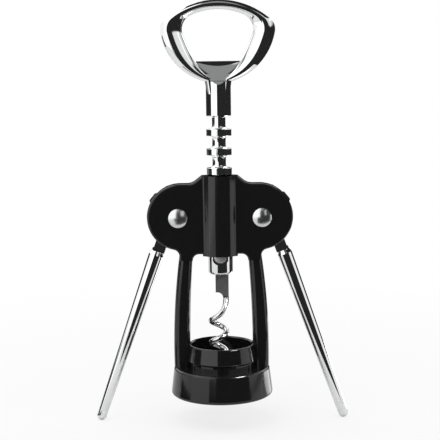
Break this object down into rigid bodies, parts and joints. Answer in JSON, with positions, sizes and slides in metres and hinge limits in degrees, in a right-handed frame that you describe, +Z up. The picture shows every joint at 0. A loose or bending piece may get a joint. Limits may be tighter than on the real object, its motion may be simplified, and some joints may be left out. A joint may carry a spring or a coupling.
{
  "type": "wing corkscrew",
  "caption": "Wing corkscrew with a bell-footed black frame, geared chrome wing levers meshing with a ringed rack, a looped turning handle and a pointed wire worm.",
  "frame": {"origin": "centre of the bottle bore's mouth, in the plane of the bell's foot", "axes": "+Z up the bottle's axis to the handle, the wings spread along X, the front faces -Y"},
  "size_m": [0.1132, 0.0452, 0.186],
  "materials": {
    "chrome_cast": "polished chrome plate on a zinc casting",
    "chrome_turned": "chrome plate on turned steel",
    "chrome_rivet": "polished domed rivet heads",
    "worm_steel": "dull plated steel wire",
    "black_enamel": "gloss black enamel",
    "nylon": "moulded black nylon"
  },
  "bodies": {
    "frame": {"frame_casting": "black_enamel", "bell_skirt": "black_enamel", "bottle_seat": "nylon", "pivot_rivet_pins": "chrome_rivet", "pivot_rivet_sleeves": "chrome_rivet"},
    "rack": {"rack_sleeve": "chrome_turned"},
    "screw": {"handle": "chrome_cast", "worm_socket": "chrome_turned", "worm_rivet": "worm_steel", "worm": "worm_steel"},
    "right_wing": {"right_lever": "chrome_cast"},
    "left_wing": {"left_lever": "chrome_cast"}
  },
  "joints": [
    {"name": "rack_slide", "type": "slide", "parent": "frame", "child": "rack", "axis": [0, 0, 1], "range_m": [-0.033, 0.00399]},
    {"name": "handle_turn", "type": "hinge", "parent": "rack", "child": "screw", "pos_m": [0, 0, 0.12], "axis": [0, 0, 1], "continuous": true},
    {"name": "right_wing_pivot", "type": "hinge", "parent": "frame", "child": "right_wing", "pos_m": [0.0185, 0, 0.0793], "axis": [0, -1, 0], "range_deg": [-17.1, 140.7]},
    {"name": "left_wing_pivot", "type": "hinge", "parent": "frame", "child": "left_wing", "pos_m": [-0.0185, 0, 0.0793], "axis": [0, 1, 0], "range_deg": [-17.1, 140.7]}
  ],
  "couplings": [
    {"joint": "right_wing_pivot", "follows": "rack_slide", "rad_per_m": -74.357},
    {"joint": "left_wing_pivot", "follows": "rack_slide", "rad_per_m": -74.357}
  ]
}
